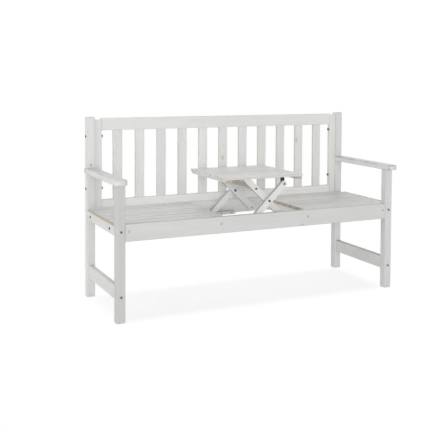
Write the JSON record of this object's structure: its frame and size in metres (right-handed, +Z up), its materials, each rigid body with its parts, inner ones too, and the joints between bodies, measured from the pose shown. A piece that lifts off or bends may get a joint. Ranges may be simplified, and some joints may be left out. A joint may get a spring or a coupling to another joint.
{
  "type": "garden bench with pop-up table",
  "caption": "Slatted white timber garden bench with armrests; the middle of its seat rises on folding scissors to make a small table.",
  "frame": {"origin": "on the floor, below the middle of the bench's outline", "axes": "+X along the bench to the sitter's left, which is the viewer's right; +Y towards the backrest; +Z up"},
  "size_m": [1.52, 0.56, 0.9],
  "materials": {
    "timber": "thin white glaze over softwood, matt",
    "fasteners": "dull dark grey",
    "bracket": "black, satin"
  },
  "bodies": {
    "bench": {"armrest_left": "timber", "armrest_right": "timber", "back_bolts": "fasteners", "back_bottom_rail": "timber", "back_nuts": "fasteners", "back_slat_01": "timber", "back_slat_02": "timber", "back_slat_03": "timber", "back_slat_04": "timber", "back_slat_05": "timber", "back_slat_06": "timber", "back_slat_07": "timber", "back_slat_08": "timber", "back_slat_09": "timber", "back_slat_10": "timber", "back_slat_11": "timber", "back_stile_left": "timber", "back_stile_right": "timber", "back_top_rail": "timber", "base_pivot_bolts": "fasteners", "end_bearer_left": "timber", "end_bearer_right": "timber", "frame_bolts": "fasteners", "front_apron": "timber", "front_leg_left": "timber", "front_leg_right": "timber", "middle_bearer_left": "timber", "middle_bearer_right": "timber", "pivot_bushes": "fasteners", "rear_apron": "timber", "rear_post_left": "timber", "rear_post_right": "timber", "seat_slats_left": "timber", "seat_slats_right": "timber", "side_rail_left": "timber", "side_rail_right": "timber", "side_stretcher_left": "timber", "side_stretcher_right": "timber", "slide_ledger_front": "timber", "slide_ledger_rear": "timber"},
    "lift_frame": {"front_lift_arm": "timber", "rear_lift_arm": "timber", "arm_spreader": "timber", "spreader_bolts": "fasteners", "crossing_bolts": "fasteners", "crossing_nuts": "fasteners", "crossing_washers": "fasteners"},
    "cross_arms": {"front_cross_arm": "timber", "rear_cross_arm": "timber"},
    "table": {"table_batten_left": "timber", "table_batten_right": "timber", "table_slat_1": "timber", "table_slat_2": "timber", "table_slat_3": "timber", "table_slat_4": "timber", "table_slat_5": "timber", "table_slat_6": "timber", "table_slat_7": "timber", "table_brackets": "bracket", "top_pivot_bolts": "fasteners"}
  },
  "joints": [
    {"name": "table_lift", "type": "hinge", "parent": "bench", "child": "lift_frame", "pos_m": [0.133, -0.008, 0.402], "axis": [0, 1, 0], "range_deg": [-44.2, 0]},
    {"name": "cross_fold", "type": "hinge", "parent": "lift_frame", "child": "cross_arms", "pos_m": [0.03263, -0.008, 0.4996], "axis": [0, 1, 0], "range_deg": [0, 88.4]},
    {"name": "table_level", "type": "hinge", "parent": "cross_arms", "child": "table", "pos_m": [0.11436, -0.008, 0.57908], "axis": [0, 1, 0], "range_deg": [-44.2, 0]}
  ],
  "couplings": [
    {"joint": "cross_fold", "follows": "table_lift", "ratio": -2},
    {"joint": "table_level", "follows": "table_lift", "ratio": 1}
  ]
}
